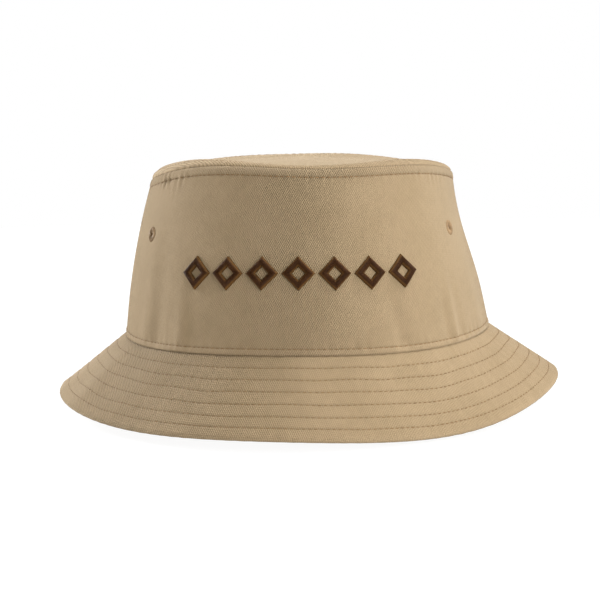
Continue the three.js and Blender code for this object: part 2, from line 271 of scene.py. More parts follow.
def wall_grooves(d, rise):
    """How far a spot lies in the groove of a row of stitches, from 0 to 1."""
    return bump(d, TOP_STITCH_DROP, GROOVE_WIDTH) + bump(rise, BASE_STITCH_RISE, GROOVE_WIDTH)


def wall_detail(phi, d, length):
    """Relief of the seams and stitch lines of the wall."""
    rise = length - d
    relief = 0.25 * step(TOP_STITCH_DROP - d) + 0.35 * step(BASE_STITCH_RISE - rise)
    relief -= GROOVE_DEPTH * wall_grooves(d, rise) + 0.35 * bump(d, 0, 0.55)
    gathers = 1 + GATHER_GAIN * bump(angle_gap(phi, GATHER_DIRECTION), 0, GATHER_SPREAD)
    relief += 0.15 * gathers * puckers(phi, d - TOP_STITCH_DROP, 3.2, 3)
    relief += 0.15 * puckers(phi, rise - BASE_STITCH_RISE, 3.2, 4)
    side = side_seam(phi, 1.55)
    return relief + 0.4 * np.exp(-((side / 5.0) ** 4)) - 0.75 * bump(side, 0, 0.8)


def wall_relief(phi, d, length):
    """How far the side cloth stands off its plain surface, by distance `d` below the top seam."""
    rise = length - d
    share = np.clip(d / length, 0, 1)
    right, sideways = np.sin(phi) < 0, np.sin(phi) ** 2
    relief = 4 * share * (1 - share) * np.where(right, BULGE_RIGHT, BULGE_LEFT) * sideways
    relief += np.sin(2 * math.pi * share) * np.where(right, 0, SKEW_LEFT) * sideways
    relief += 0.5 * ripple(phi, d, 14, (2, 9), 0.03, 5) * np.sin(math.pi * share) ** 0.7
    for direction, width, height, slant, reach in SOFT_FOLDS:
        fold = bump(angle_gap(phi + np.radians(slant * rise), direction), 0, width)
        relief += height * fold * np.clip(rise / FOLD_FOOT, 0, 1) * np.clip(1 - rise / reach, 0, 1) ** 1.3
    return relief + wall_detail(phi, d, length)


def wall_surface(phi, d, sink=0.0):
    """Point and outward normal of the side cloth, `d` below the top seam and `sink` inside its face."""
    point, normal = crown_section(phi, top_seam_drop(phi) + d)
    length = wall_length(phi)
    # the cloth turns in over the last 0.8 mm above the brim's seam
    tuck = 0.8 * np.clip(1 - (length - d) / 0.8, 0, 1) ** 2
    return point + normal * col(wall_relief(phi, d, length) - sink - tuck), normal


def tip_relief(phi, d, x, y):
    """How far the top panel stands off its plain surface, by distance `d` inside its seam and by place."""
    relief = 0.35 * step(TIP_STITCH_INSET - d) - 0.35 * bump(d, 0, 0.5)
    relief -= GROOVE_DEPTH * bump(d, TIP_STITCH_INSET, GROOVE_WIDTH)
    relief += 0.16 * puckers(phi, d - TIP_STITCH_INSET, 3.0, 7)
    swell = 0.5 * np.sin(x / 23 + 1.0) * np.cos(y / 29 + 0.4) + 0.3 * np.sin((x - y) / 13)
    sag = 1.6 * np.clip((d - TIP_STITCH_INSET) / 14, 0, 1) ** 2 * (1 - np.clip(d / tip_reach(phi), 0, 1))
    return relief + swell * np.clip(d / 25, 0, 1) - sag


def tip_surface(phi, fraction, sink=0.0):
    """Point and normal of the top panel, from its seam (fraction 0) to its centre (1)."""
    d = fraction * tip_reach(phi)
    point, normal = crown_section(phi, top_seam_drop(phi) - d)
    lift = tip_relief(phi, d, point[..., 0], point[..., 1]) - sink
    return point + normal * col(lift), normal


# ---- brim: two skins over a stiffener, quilted into channels by the stitch rows
def quilt(along):
    """Height of the channels between the rows: 0 at a row, 1 along the middle of a channel."""
    marks = np.array([0, *ROW_DISTANCES, BRIM_LENGTH])
    place = np.interp(along, marks, np.arange(len(marks)))
    return 1 - np.abs(2 * (place - np.floor(place)) - 1) ** 6


def brim_drawn(phi, along):
    """How far from the seam the cloth lies, by direction and by its distance on the flat pattern."""
    share = np.clip(along / BRIM_LENGTH, 0, 1)
    swell = np.sin(math.pi * share)
    drawn = along + 0.4 * swell * ripple(phi, along, 14, (5, 22), 0.1, 61)
    for middle, width, edge, half in BRIM_STRETCH:
        drawn = drawn + bump(angle_gap(phi, middle), 0, width) * (edge * share + half * swell)
    return drawn


SIDE_RIDGES = ((-67, 1.5), (75, 1.5))  # bends towards the brim's sides: direction, height
QUILT_DEPTH = 0.34
UPPER_SEED, UNDER_SEED = 11, 21  # of the ripples of the two faces
FLATTENED = 0.6  # share of the quilting that is pressed out on the wearer's left


def crispness(phi):
    """How sharply the quilting shows, from 0 to 1."""
    return 1 - FLATTENED * np.clip(1.6 * np.sin(phi), 0, 1)


def brim_detail(phi, along, seed):
    """Relief of the quilting rows and of the side seams."""
    draw = np.exp(-(quilt(along) / 0.5) ** 2)
    relief = QUILT_DEPTH * crispness(phi) * (quilt(np.clip(along, 0, BRIM_LENGTH * 0.9999)) - 1)
    relief += 0.11 * ripple(phi, along, 22, (60, 135), 0.16, seed) * (0.4 + draw)
    side = side_seam(phi, 1.9)
    return relief + 0.35 * np.exp(-((side / 4.5) ** 4)) - 0.8 * bump(side, 0, 0.75)


def brim_relief(phi, along, seed):
    """How far a face of the brim stands off its plain surface."""
    relief = 0.35 * ripple(phi, along, 12, (9, 26), 0.06, seed + 1)
    for direction, height in SIDE_RIDGES:
        relief += height * np.exp(-np.hypot(angle_gap(phi, direction), 1.5) / 4.5)
    middle = np.sin(math.pi * np.clip(along / BRIM_LENGTH, 0, 1)) ** 0.6
    return relief * middle + brim_detail(phi, along, seed)


def brim_point(phi, along, depth):
    """Point of the brim `along` its pattern from the seam and `depth` below its upper face."""
    slope = brim_slope(phi)
    along = brim_drawn(phi, along)
    out = along * np.cos(slope) - depth * np.sin(slope)
    up = -along * np.sin(slope) - depth * np.cos(slope)
    return seam_point(phi) + outward(phi) * col(out) + UP * col(up)


def brim_face(phi, along, upper):
    """Point and outward normal of the upper or the under face of the brim."""
    slope = brim_slope(phi)
    normal = outward(phi) * col(np.sin(slope)) + UP * col(np.cos(slope))
    if upper:
        return brim_point(phi, along, -brim_relief(phi, along, UPPER_SEED)), normal
    return brim_point(phi, along, BRIM_THICK + brim_relief(phi, along, UNDER_SEED)), -normal


# ---------------- mesh building
def face_outwards(mesh):
    work = bmesh.new()
    work.from_mesh(mesh)
    bmesh.ops.recalc_face_normals(work, faces=work.faces)
    work.to_mesh(mesh)
    work.free()


def mesh_object(name, points, faces, uvs=None, traits=None):
    """A mesh object from points in millimetres and arrays of faces, each array with one number of sides.
    Each point may have a cloth coordinate in millimetres and named traits from 0 to 1 for its material."""
    mesh = bpy.data.meshes.new(name)
    points = np.asarray(points, float).reshape(-1, 3) * MM
    sizes = np.concatenate([np.full(len(f), f.shape[1]) for f in faces])
    loops = np.concatenate([f.ravel() for f in faces])
    mesh.vertices.add(len(points))
    mesh.vertices.foreach_set("co", points.astype(np.float32).ravel())
    mesh.loops.add(len(loops))
    mesh.loops.foreach_set("vertex_index", loops.astype(np.int32))
    mesh.polygons.add(len(sizes))
    starts = np.concatenate([[0], np.cumsum(sizes)[:-1]])
    mesh.polygons.foreach_set("loop_start", starts.astype(np.int32))
    mesh.polygons.foreach_set("use_smooth", np.full(len(sizes), True))
    if uvs is not None:
        layer = mesh.uv_layers.new(name="Cloth")
        flat = (np.asarray(uvs, float).reshape(-1, 2) * MM)[loops]
        layer.data.foreach_set("uv", flat.astype(np.float32).ravel())
    for trait, values in (traits or {}).items():
        attribute = mesh.attributes.new(trait, "FLOAT", "POINT")
        attribute.data.foreach_set("value", np.clip(values, 0, 1).astype(np.float32).ravel())
    mesh.update(calc_edges=True)
    mesh.validate()
    face_outwards(mesh)
    obj = bpy.data.objects.new(name, mesh)
    bpy.context.scene.collection.objects.link(obj)
    return obj


def grid_faces(columns, rows, ring, wrap_rows=False):
    """Quads of a grid of points stored column by column."""
    i = np.arange(columns if ring else columns - 1)
    k = np.arange(rows if wrap_rows else rows - 1)
    i, k = np.meshgrid(i, k, indexing="ij")
    i2, k2 = (i + 1) % columns, (k + 1) % rows
    return np.stack([i * rows + k, i2 * rows + k, i2 * rows + k2, i * rows + k2], -1).reshape(-1, 4)


def end_caps(columns, rows):
    """The faces that close both ends of a tube of `columns` sections with `rows` points each."""
    first = np.arange(rows)[None, ::-1]
    last = (columns - 1) * rows + np.arange(rows)[None, :]
    return first, last


def loft(name, points, ring, uvs=None, traits=None, flip=False):
    """Closed body through sections: points[i, k] is point k of closed section i. Open lofts get end caps."""
    columns, rows = points.shape[:2]
    faces = [grid_faces(columns, rows, ring, wrap_rows=True)]
    if not ring:
        faces += end_caps(columns, rows)
    if flip:
        faces = [f[:, ::-1] for f in faces]
    return mesh_object(name, points, faces, uvs, traits)


def shell(name, outer, inner, uvs, traits, keep):
    """Sheet with two faces of the same grid, closed along every free edge. `keep` tells from the middles
    of the grid's quads which of them are there, so the others are holes."""
    columns, rows = outer.shape[:2]
    count = columns * rows
    faces = grid_faces(columns, rows, False)
    faces = faces[keep(outer.reshape(-1, 3)[faces].mean(axis=1))]
    edges = np.concatenate([faces[:, [k, (k + 1) % 4]] for k in range(4)])
    forward = edges[:, 0] * count + edges[:, 1]
    backward = edges[:, 1] * count + edges[:, 0]
    rim = edges[~np.isin(forward, backward)]
    bridge = np.stack([rim[:, 1], rim[:, 0], rim[:, 0] + count, rim[:, 1] + count], -1)
    all_faces = np.concatenate([faces, faces[:, ::-1] + count, bridge])
    points = np.concatenate([outer.reshape(-1, 3), inner.reshape(-1, 3)])
    used, compact = np.unique(all_faces, return_inverse=True)
    both = np.concatenate([uvs.reshape(-1, 2)] * 2)
    shown = {trait: np.concatenate([values.ravel(), np.full(count, 0.5)])[used]
             for trait, values in traits.items()}
    return mesh_object(name, points[used], [compact.reshape(-1, 4)], both[used], shown)


def finish_piece(obj, material, slot, *nodes):
    """Material and body of a piece, and the CAD nodes that it stands in for. Its slot argument is not used.
    """
    obj.data.materials.append(material)
    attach(obj, "root")
    if nodes:
        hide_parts(*nodes)
    return obj


def directions(low=-180.0, high=180.0, spread=COLUMNS):
    """Directions round the hat in radians: a closed ring, or an arc with both ends."""
    count = int(round((high - low) / 360 * spread))
    if high - low >= 360:
        return np.radians(low + 360 * np.arange(count) / count)
    return np.radians(np.linspace(low, high, count + 1))


def seam_arc(phi):
    """Distance round the base seam from the front, in millimetres."""
    table_phi = np.linspace(-2 * math.pi, 4 * math.pi, 6001)
    ds = np.hypot(SEAM_X * np.cos(table_phi), SEAM_Y * np.sin(table_phi)) * (table_phi[1] - table_phi[0])
    table = np.cumsum(ds)
    table -= np.interp(0.0, table_phi, table)
    return np.interp(phi, table_phi, table)


def flat_pattern(phi, radius, apex, centre=0.0):
    """Place on the flat-cut cloth of a conical panel whose pattern is an arc of `apex` radius at the seam."""
    turn = (seam_arc(phi) - seam_arc(np.array(centre))) / apex
    return np.stack([radius * np.sin(turn), radius * np.cos(turn)], -1)


# ---------------- materials
class Look:
    """A node material with one Principled shader."""

    def __init__(self, name, roughness, specular=0.3, sheen=0.0, sheen_roughness=0.5):
        self.material = bpy.data.materials.new(name)
        self.material.use_nodes = True
        self.tree = self.material.node_tree
        self.shader = self.tree.nodes["Principled BSDF"]
        self.set(self.shader, {
            "Roughness": roughness,
            "Specular IOR Level": specular,
            "Sheen Weight": sheen,
            "Sheen Roughness": sheen_roughness,
        })

    def set(self, node, inputs):
        for key, value in inputs.items():
            if isinstance(value, bpy.types.NodeSocket):
                self.tree.links.new(value, node.inputs[key])
            else:
                node.inputs[key].default_value = value

    def node(self, kind, inputs=(), out=0, **settings):
        """Output of a new node, by the values or links of its inputs and by its other settings."""
        made = self.tree.nodes.new("ShaderNode" + kind)
        for key, value in settings.items():
            setattr(made, key, value)
        self.set(made, dict(inputs))
        return made.outputs[out]

    def math(self, operation, a, b=0.0, c=0.0):
        return self.node("Math", {0: a, 1: b, 2: c}, operation=operation)

    def sine(self, value, pitch):
        """Sine of a coordinate, one cycle for each `pitch`."""
        return self.math("SINE", self.math("MULTIPLY", value, 2 * math.pi / pitch))

    def rescale(self, value, low, high, new_low, new_high):
        return self.node("MapRange", {0: value, 1: low, 2: high, 3: new_low, 4: new_high})

    def trait(self, name):
        """Value of a piece's named trait, from 0 to 1."""
        return self.node("Attribute", out=2, attribute_name=name)

    def noise(self, vector, scale, detail=2.0, roughness=0.5):
        inputs = {"Vector": vector, "Scale": scale, "Detail": detail, "Roughness": roughness}
        return self.node("TexNoise", inputs)

    def mix(self, kind, amount, a, b):
        return self.node("Mix", {0: amount, 6: a, 7: b}, out=2, data_type="RGBA", blend_type=kind)

    def ramp(self, value, low, high, start=0.0, end=1.0):
        made = self.tree.nodes.new("ShaderNodeValToRGB")
        made.color_ramp.elements[0].position = start
        made.color_ramp.elements[0].color = low
        made.color_ramp.elements[1].position = end
        made.color_ramp.elements[1].color = high
        self.tree.links.new(value, made.inputs[0])
        return made.outputs[0]

    def tint(self, base, value, low, high, start=0.3, end=0.7):
        """`base` multiplied by a colour that goes from `low` to `high` as `value` goes from start to end."""
        return self.mix("MULTIPLY", 1.0, base, self.ramp(value, low, high, start, end))

    def finished(self, base, height, depth, strength):
        """The material, with its colour and a relief that is `depth` millimetres deep."""
        normal = self.node("Bump", {"Height": height, "Distance": depth * MM, "Strength": strength})
        self.set(self.shader, {"Base Color": base, "Normal": normal})
        return self.material

    def cloth(self, angle=0.0):
        """Cloth coordinates in millimetres, turned so that X runs along the threads at `angle` degrees."""
        uv = self.node("UVMap", uv_map="Cloth")
        turn = (0, 0, math.radians(angle))
        return self.node("Mapping", {"Vector": uv, "Scale": (1 / MM,) * 3, "Rotation": turn})

    def axes(self, vector):
        """X and Y of a vector."""
        parts = self.tree.nodes.new("ShaderNodeSeparateXYZ")
        self.tree.links.new(vector, parts.inputs[0])
        return parts.outputs[0], parts.outputs[1]


def linear(red, green, blue):
    """Linear colour from an sRGB colour of 0 to 255."""
    def channel(value):
        value /= 255
        return value / 12.92 if value <= 0.04045 else ((value + 0.055) / 1.055) ** 2.4
    return (channel(red), channel(green), channel(blue), 1.0)


def shaded(color, factor):
    return tuple(c * factor for c in color[:3]) + (1.0,)


def grey(value):
    return (value, value, value, 1.0)


def twill(name, color, angle):
    """Washed cotton twill: diagonal wales at `angle`, crossed by the yarns that make them up. The trait
    raking_light tells how plainly they show, their colour contrast being painted shade where light rakes
    across the cloth, and the trait shade_and_wear darkens the cloth below 0.5 with painted shade and lightens
    it above 0.5 with painted highlight and, at the brim's edge, rubbed wear."""
    wale = 0.85  # spacing of the wales
    look = Look(name, 0.9, specular=0.15, sheen=0.22, sheen_roughness=0.4)
    look.shader.inputs["Sheen Tint"].default_value = linear(255, 240, 214)
    flat = look.cloth(angle)
    along, across = look.axes(flat)
    across = look.math("MULTIPLY_ADD", look.noise(flat, 0.35, 2.0), 0.55, across)
    wales = look.sine(across, wale)
    yarns = look.math("MULTIPLY", along, 2 * math.pi / (1.3 * wale))
    yarns = look.math("SINE", look.math("MULTIPLY_ADD", across, 3.1, yarns))
    weave = look.math("MULTIPLY_ADD", yarns, 0.35, wales)
    stretched = look.node("Mapping", {"Vector": flat, "Scale": (0.16, 1.3, 1.0)})
    streaks = look.noise(stretched, 1.6, 3.0, 0.65)
    slubs = look.noise(flat, 2.6, 2.0, 0.6)
    level = look.rescale(weave, -1.35, 1.35, 0.0, 1.0)
    # the wales' colour contrast is painted shade, strongest where light rakes across the cloth
    raking_light = look.trait("raking_light")
    plain_share = look.rescale(raking_light, 0.0, 1.0, 0.8, 0.0)
    woven = look.ramp(level, shaded(color, 0.66), shaded(color, 1.22))
    base = look.mix("MIX", plain_share, woven, shaded(color, 0.94))
    for value, low, high in (
        (streaks, grey(0.92), grey(1.07)),
        (slubs, grey(0.94), grey(1.05)),
        (look.noise(flat, 0.045, 3.0, 0.55), (0.95, 0.945, 0.93, 1), (1.04, 1.04, 1.05, 1)),
        (look.noise(flat, 0.22, 2.0, 0.5), grey(0.97), grey(1.03)),
    ):
        base = look.tint(base, value, low, high)
    # painted shade in seams, grooves and rows, painted highlight on ridges and bands, rubbed wear at the
    # brim's edge
    shade_and_wear_trait = look.trait("shade_and_wear")
    # the darker colour is painted shade; the lighter one is painted highlight and rubbed wear
    base = look.tint(base, shade_and_wear_trait, (0.50, 0.46, 0.40, 1), grey(1.0), 0.0, 0.5)
    base = look.tint(base, shade_and_wear_trait, grey(1.0), (1.14, 1.15, 1.18, 1), 0.5, 1.0)
    height = look.math("MULTIPLY_ADD", slubs, 0.9, look.math("MULTIPLY_ADD", streaks, 0.7, weave))
    strength = look.rescale(raking_light, 0.0, 1.0, 0.45, 1.0)
    return look.finished(base, height, 0.2, strength)


def plain_weave(name, color):
    """Plain-woven tape: yarns over and under in both directions."""
    look = Look(name, 0.9, specular=0.25, sheen=0.2)
    yarn_pitch = 0.6
    flat = look.cloth()
    checks = look.math("MULTIPLY", *(look.sine(axis, 2 * yarn_pitch) for axis in look.axes(flat)))
    mottle = look.noise(flat, 0.5, 3.0, 0.6)
    fibres = look.noise(flat, 5.0, 2.0, 0.6)
    base = look.ramp(look.rescale(checks, -1.0, 1.0, 0.0, 1.0), shaded(color, 0.84), shaded(color, 1.08))
    base = look.tint(base, mottle, grey(0.93), grey(1.05))
    height = look.math("MULTIPLY_ADD", fibres, 0.8, checks)
    return look.finished(base, height, 0.08, 0.8)


def felted(name, color):
    """Non-woven stiffener: matted fibres with no weave."""
    look = Look(name, 0.95, specular=0.2, sheen=0.1)
    flat = look.cloth()
    fibres = look.noise(flat, 1.6, 6.0, 0.75)
    base = look.ramp(fibres, shaded(color, 0.86), shaded(color, 1.05), 0.3, 0.7)
    return look.finished(base, fibres, 0.15, 0.6)


def thread(name, color, roughness, sheen):
    """Spun thread: fine twisted fibres, each stitch a little lighter or darker."""
    look = Look(name, roughness, specular=0.35, sheen=sheen)
    place = look.node("TexCoord", out=3)
    fibres = look.noise(place, 2600.0, 2.0, 0.6)
    tone = look.noise(place, 260.0, 2.0, 0.5)
    base = look.ramp(fibres, shaded(color, 0.80), shaded(color, 1.15), 0.3, 0.7)
    base = look.tint(base, tone, grey(0.88), grey(1.12), 0.35, 0.65)
    return look.finished(base, fibres, 0.05, 0.5)


def satin(name, color, highlight_color):
    """Satin-stitched embroidery: dark along the top of a stroke, with a painted highlight towards both edges,
    where its threads turn down into the cloth, and painted shade in the groove between one thread and the
    next."""
    look = Look(name, 0.55, specular=0.12)
    place = look.node("TexCoord", out=3)
    tone = look.noise(place, 420.0, 3.0, 0.6)
    cloud = look.noise(place, 60.0, 2.0, 0.5)
    # painted highlight towards the edges of the stroke
    base = look.ramp(look.trait("edge"), color, highlight_color, 0.45, 0.85)
    # painted shade in the grooves between threads, then random tone
    for value, low, high, start, end in (
        (look.trait("rib"), grey(0.45), grey(1.12), 0.0, 0.8),
        (tone, grey(0.80), grey(1.22), 0.3, 0.7),
        (cloud, grey(0.90), grey(1.10), 0.3, 0.7),
    ):
        base = look.tint(base, value, low, high, start, end)
    return look.finished(base, tone, 0.04, 0.4)


def label_cloth(name, color):
    """Woven satin label: smooth face with fine cross ribs."""
    look = Look(name, 0.5, specular=0.4, sheen=0.1)
    rib_pitch = 0.35
    flat = look.cloth()
    ribs = look.sine(look.axes(flat)[1], rib_pitch)
    mottle = look.noise(flat, 0.9, 3.0, 0.6)
    base = look.ramp(mottle, shaded(color, 0.93), shaded(color, 1.03), 0.3, 0.7)
    return look.finished(base, ribs, 0.03, 0.6)


TAN = linear(147, 127, 98)
CROWN_TWILL = twill("crown twill", TAN, 59.0)
BRIM_TWILL = twill("brim twill", TAN, -69.0)
TAPE = plain_weave("cotton tape", linear(144, 127, 100))
STIFFENER = felted("non-woven stiffener", linear(196, 191, 179))
STITCH = thread("tan sewing thread", linear(120, 92, 58), 0.75, 0.05)
EYELET = thread("eyelet thread", linear(137, 111, 78), 0.7, 0.08)
LABEL = label_cloth("label cloth", linear(204, 199, 188))
# the second colour is the painted highlight along the strokes' edges
BROWN = satin("brown embroidery thread", linear(56, 31, 8), linear(94, 65, 31))


# ---------------- stitches
def grain():
    """One stitch as seen on the cloth, of unit length and radius: along X, standing on Z."""
    around, stations = 8, 7
    x = np.sin(np.linspace(-math.pi / 2, math.pi / 2, stations)) / 2
    fat = np.sqrt(np.clip(1 - (2 * x) ** 4, 0.0, 1))
    fat[[0, -1]] = 0.25
    turn = np.linspace(0, 2 * math.pi, around, endpoint=False)
    arch = 0.9 * (1 - (2 * x) ** 2) - 0.7
    points = np.stack([
        np.repeat(x, around),
        np.outer(fat, np.cos(turn)).ravel(),
        (np.outer(fat, np.sin(turn)) + arch[:, None]).ravel(),
    ], -1)
    return points, grid_faces(stations, around, False, wrap_rows=True), *end_caps(stations, around)


def along_path(points, pitch):
    """Evenly spaced places on a polyline, as point numbers with fractions. Their count is rounded to fit."""
    steps = np.linalg.norm(np.diff(points, axis=0), axis=1)
    distance = np.concatenate([[0], np.cumsum(steps)])
    count = max(int(round(distance[-1] / pitch)), 1)
    spots = (np.arange(count) + 0.5) / count * distance[-1]
    return np.interp(spots, distance, np.arange(len(points)))


def stitch_frames(points, normals, pitch):
    """Centre, direction, side and upright of each stitch of a row."""
    place = along_path(points, pitch)
    low = np.clip(np.floor(place).astype(int), 0, len(points) - 2)
    share = (place - low)[:, None]
    centre = points[low] * (1 - share) + points[low + 1] * share
    tangent = points[low + 1] - points[low]
    tangent /= np.linalg.norm(tangent, axis=1, keepdims=True)
    normal = normals[low]
    side = np.cross(normal, tangent)
    side /= np.linalg.norm(side, axis=1, keepdims=True)
    return centre, tangent, side, np.cross(tangent, side)


def stitch_line(name, paths, seed, nodes=(), pitch=STITCH_PITCH):
    """Rows of separate stitches. Each path is (points, normals) on the cloth."""
    points, faces, first, last = grain()
    rng = np.random.default_rng(seed)
    verts, quads, caps = [], [], []
    for path, normals in paths:
        for centre, tangent, side, up in zip(*stitch_frames(path, normals, pitch)):
            length = STITCH_LENGTH * rng.uniform(0.92, 1.08) * pitch / STITCH_PITCH
            yaw = rng.normal(0, 0.045)
            heading = tangent * math.cos(yaw) + side * math.sin(yaw)
            across = side * math.cos(yaw) - tangent * math.sin(yaw)
            radius = THREAD_RADIUS * rng.uniform(0.93, 1.07)
            offset = len(verts) * len(points)
            verts.append(
                centre
                + points[:, :1] * length * heading
                + points[:, 1:2] * radius * across
                + points[:, 2:] * radius * up
            )
            quads.append(faces + offset)
            caps += [first + offset, last + offset]
    obj = mesh_object(name, np.concatenate(verts), [np.concatenate(quads), np.concatenate(caps)])
    return finish_piece(obj, STITCH, "thread", *nodes)


def whole_turn():
    """Directions once round the hat, the last the same as the first."""
    return np.linspace(-math.pi, math.pi, COLUMNS + 1)


# ---------------- crown
EYELETS = ("eyelet_front_right", "eyelet_front_left", "eyelet_back_left", "eyelet_back_right")
EYELET_HOLE = 1.6  # radius of the cloth cut away
CROWN_PATTERN_RADIUS = 470.0  # of the wall's flat pattern, at the brim's seam
BRIM_PATTERN_RADIUS = 134.0  # of the brim's, at the same seam


def eyelet_place(node):
    """Direction round the hat and distance below the top seam of an eyelet."""
    spot = middle_mm(node)
    phi = np.array(direction_of(spot))
    return phi, wall_distance(phi, spot[2] - SEAM_Z)


def wall_painted_light(phi, d, length):
    """Painted shade in the seams and stitch grooves, painted highlight on the rolls beside them."""
    rise = length - d
    # the relief read as colour: painted highlight where the cloth stands up, painted shade where it dips and
    # in the stitch grooves
    shade_and_wear = 0.5 + 0.5 * wall_detail(phi, d, length) - 0.12 * wall_grooves(d, rise)
    # painted shadow along the brim's seam and along the top seam
    return shade_and_wear - 0.35 * bump(rise, -0.2, 0.5) - 0.08 * bump(d, 0, 0.4)


def wall_raking_light(phi, d):
    """How plainly the twill shows, as painted shade where light rakes across the cloth: most along the top
    band and in the middle of front, back and sides.
    """
    return 0.85 * (0.5 + 0.5 * np.cos(4 * phi + 0.2)) ** 2 + 0.6 * step(TOP_STITCH_DROP - d)


def crown_side(name, node, low, high):
    """One panel of the wall, with its eyelet holes."""
    phi = directions(low, high)
    length = wall_length(phi)[:, None]
    share = np.linspace(0, 1, 110)
    # rows crowd towards the two seams, where the rolls and stitch grooves are
    share = share - 0.1 * np.sin(2 * math.pi * share)
    angles, d = np.broadcast_arrays(phi[:, None], length * share[None, :])
    outer, _ = wall_surface(angles, d)
    inner, _ = wall_surface(angles, d, sink=CLOTH)
    centre = math.radians((low + high) / 2)
    uvs = flat_pattern(angles, CROWN_PATTERN_RADIUS - (length - d), CROWN_PATTERN_RADIUS, centre)
    spots = [wall_surface(*eyelet_place(name))[0] for name in EYELETS]

    def keep(centres):
        near = [np.linalg.norm(centres - spot, axis=1) < EYELET_HOLE for spot in spots]
        return ~np.any(near, axis=0)

    traits = {"shade_and_wear": wall_painted_light(angles, d, length), "raking_light": wall_raking_light(angles, d)}
    obj = shell(name, outer, inner, uvs, traits, keep)
    return finish_piece(obj, CROWN_TWILL, "twill", node)


def tip_painted_light(d):
    # painted highlight on the band between the seam and its stitch row, a little painted shade over the rest
    # of the panel, more in the stitch groove and at the seam
    shade_and_wear = 0.45 + 0.4 * step(TIP_STITCH_INSET - d) - 0.2 * bump(d, TIP_STITCH_INSET, GROOVE_WIDTH)
    return shade_and_wear - 0.12 * bump(d, 0, 0.4)


def crown_tip():
    """The top panel: two faces closed along the seam, each with a fan of triangles at its centre."""
    phi = directions()
    edge_share, last_share = 0.16, 0.985  # fine rows out to the first, coarse ones to the second
    share = np.concatenate([np.linspace(0, edge_share, 36)[:-1], np.linspace(edge_share, last_share, 32)])
    angles, share = np.broadcast_arrays(phi[:, None], share[None, :])
    outer, _ = tip_surface(angles, share)
    inner, _ = tip_surface(angles, share, sink=CLOTH)
    columns, rows = share.shape
    count = columns * rows
    middle = [np.array([[TOP_SHIFT, 0, face[:, -1, 2].mean()]]) for face in (outer, inner)]
    points = np.concatenate([outer.reshape(-1, 3), inner.reshape(-1, 3), *middle])
    faces = grid_faces(columns, rows, True)[:, ::-1]
    here = np.arange(columns) * rows
    after = np.roll(here, -1)
    rim = np.stack([here, after, after + count, here + count], -1)
    last_here, last_after = here + rows - 1, after + rows - 1
    fan_top = np.stack([last_here, last_after, np.full(columns, 2 * count)], -1)
    fan_under = np.stack([last_after + count, last_here + count, np.full(columns, 2 * count + 1)], -1)
    quads = np.concatenate([faces, faces[:, ::-1] + count, rim])
    triangles = np.concatenate([fan_top, fan_under])
    shade_and_wear = np.concatenate([tip_painted_light(share * tip_reach(angles)).ravel(), np.full(count + 2, 0.5)])
    traits = {"shade_and_wear": shade_and_wear, "raking_light": np.full(len(shade_and_wear), 0.4)}
    obj = mesh_object("crown_top", points, [quads, triangles], points[:, :2], traits)
    return finish_piece(obj, CROWN_TWILL, "twill", "crown_top_panel", "crown_top_allowance")


def crown_stitching():
    turn = whole_turn()
    below_top = wall_surface(turn, np.full_like(turn, TOP_STITCH_DROP))
    above_base = wall_surface(turn, wall_length(turn) - BASE_STITCH_RISE)
    on_tip = tip_surface(turn, TIP_STITCH_INSET / tip_reach(turn))
    stitch_line("top_seam_stitches", [below_top], 31, ["crown_top_stitch"])
    stitch_line("base_seam_stitches", [above_base], 32, ["crown_base_stitch"])
    stitch_line("tip_stitches", [on_tip], 33, ["crown_tip_stitch"])


def eyelet(node):
    """Overcast ring: a fat ring of thread wound closely round the hole's edge."""
    centre, normal = wall_surface(*eyelet_place(node), sink=CLOTH / 2)
    side = np.cross(UP, normal)
    side /= np.linalg.norm(side)
    up = np.cross(normal, side)
    loops, per_loop, around = 46, 6, 16
    theta, psi = np.meshgrid(
        np.linspace(0, 2 * math.pi, loops * per_loop, endpoint=False),
        np.linspace(0, 2 * math.pi, around, endpoint=False),
        indexing="ij",
    )
    rib = 0.5 + 0.5 * np.cos(loops * theta + 0.5 * np.sin(psi))
    ring_radius = 2.4
    width, height = 1.5 + 0.1 * rib, 0.95 + 0.16 * rib
    reach = ring_radius + width * np.cos(psi) + 0.08 * np.sin(3 * theta + 1)
    points = (
        centre
        + col(reach * np.cos(theta)) * side
        + col(reach * np.sin(theta)) * up
        + col(height * np.sin(psi)) * normal
    )
    return finish_piece(loft(node + "_thread", points, True), EYELET, "thread", node)


# ---------------- brim
def brim_shade_and_wear(phi, along, seed):
    """Painted shade and highlight from the quilting's relief, painted shade along the rows and the crown's
    seam, rubbed cloth at the edge.
    """
    from_row = np.min([np.abs(along - distance) for distance in ROW_DISTANCES], axis=0)
    # the relief read as colour between the rows: painted highlight where it stands up, painted shade where it
    # dips
    shade_and_wear = 0.5 + 0.35 * (brim_detail(phi, along, seed) + 0.1) * (from_row > 1.0)
    # painted shade in the rows' grooves, weaker on the wearer's left, where the light falls
    shade_and_wear -= (0.1 + 0.13 * np.cos(phi) ** 2) * crispness(phi) * bump(from_row, 0, 0.4)
    # painted shadow along the crown's seam
    shade_and_wear -= 0.25 * bump(along, 0.0, 0.5)
    return shade_and_wear + 0.18 * bump(along, BRIM_LENGTH, 1.2)


def brim_raking_light(phi):
    """How plainly the twill shows, as painted shade where light rakes across the cloth: most towards the
    wearer's right at the front, and opposite that.
    """
    return (0.5 + 0.5 * np.cos(2 * phi + 1.65)) ** 2


